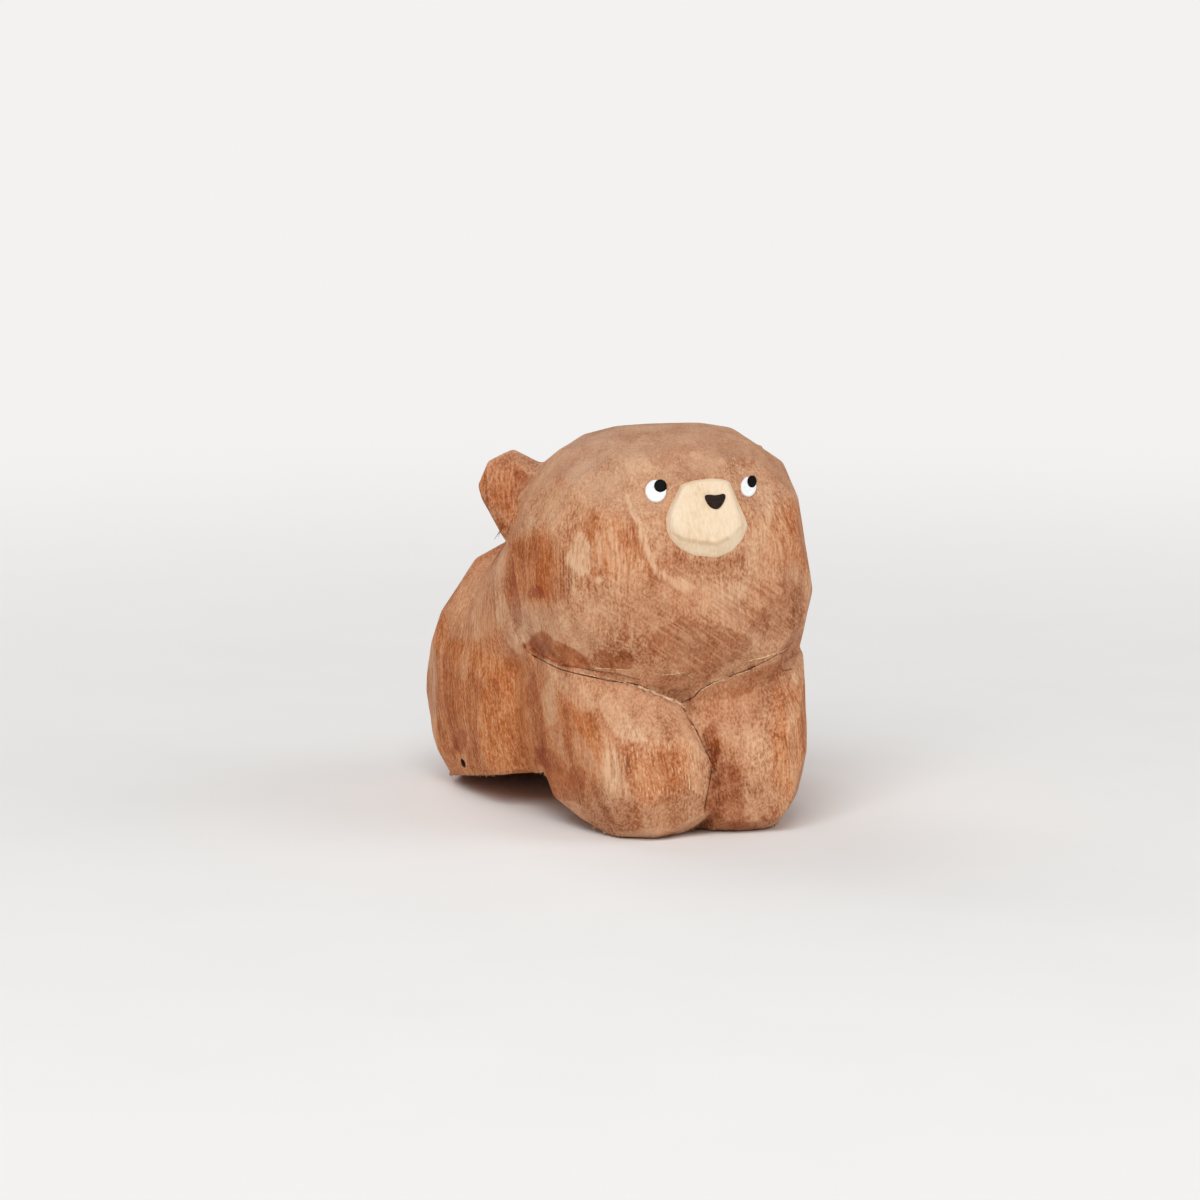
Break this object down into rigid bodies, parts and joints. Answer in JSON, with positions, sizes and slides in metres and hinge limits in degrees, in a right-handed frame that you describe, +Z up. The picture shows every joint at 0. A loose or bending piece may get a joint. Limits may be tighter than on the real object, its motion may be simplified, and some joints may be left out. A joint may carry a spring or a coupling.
{
  "type": "wooden bear figurine",
  "caption": "Hand-carved, brown-stained wooden bear that sits up on its forepaws, with a big round head, pale raised muzzle, black nose and painted eyes; a small desk or shelf ornament.",
  "frame": {"origin": "on the table that the bear sits on, under the middle of its bounding box", "axes": "+Z up, the bear faces -Y with its back to +Y, and its right side is -X"},
  "size_m": [0.0454, 0.0644, 0.0547],
  "materials": {
    "stained_wood": "knife-carved, thin brown stain with blotches, satin oil",
    "dowel_wood": "bare round beech rod",
    "cream_wood": "thin matt cream wash over pale wood",
    "white_paint": "satin white acrylic paint dot",
    "black_paint": "satin black acrylic paint"
  },
  "bodies": {
    "root": {"torso": "stained_wood", "head": "stained_wood", "right_foreleg": "stained_wood", "left_foreleg": "stained_wood", "right_ear": "stained_wood", "left_ear": "stained_wood", "muzzle": "cream_wood", "nose": "black_paint", "right_eye_white": "white_paint", "left_eye_white": "white_paint", "right_pupil": "black_paint", "left_pupil": "black_paint", "neck_dowel": "dowel_wood", "right_foreleg_dowel": "dowel_wood", "left_foreleg_dowel": "dowel_wood", "right_ear_dowel": "dowel_wood", "left_ear_dowel": "dowel_wood"}
  },
  "joints": []
}
